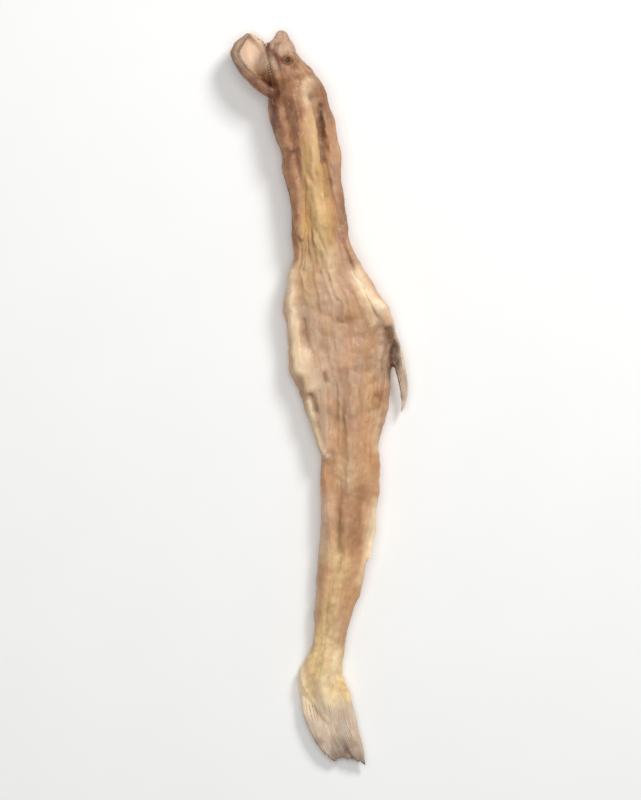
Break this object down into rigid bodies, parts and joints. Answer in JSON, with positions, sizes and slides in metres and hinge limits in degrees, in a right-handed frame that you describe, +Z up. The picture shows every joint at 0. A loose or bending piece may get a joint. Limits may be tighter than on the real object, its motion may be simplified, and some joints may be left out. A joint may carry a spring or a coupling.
{
  "type": "dried bombay duck fish",
  "caption": "Whole sun-dried bombay duck: a long thin ridged fish with a gaping jaw, a broad flattened belly, folded fins and a pale brush-like tail, lying on its flank.",
  "frame": {"origin": "bottom centre of the fish's box, on the surface that it lies on", "axes": "+Z up from the surface, +Y along the fish towards its head, +X towards its back and -X towards its belly"},
  "size_m": [0.0492, 0.2002, 0.0137],
  "materials": {
    "dried_flesh": "dry wrinkled skin and flesh, tan to cream, with a slight waxy sheen"
  },
  "bodies": {
    "root": {"dried_fish": "dried_flesh"}
  },
  "joints": []
}
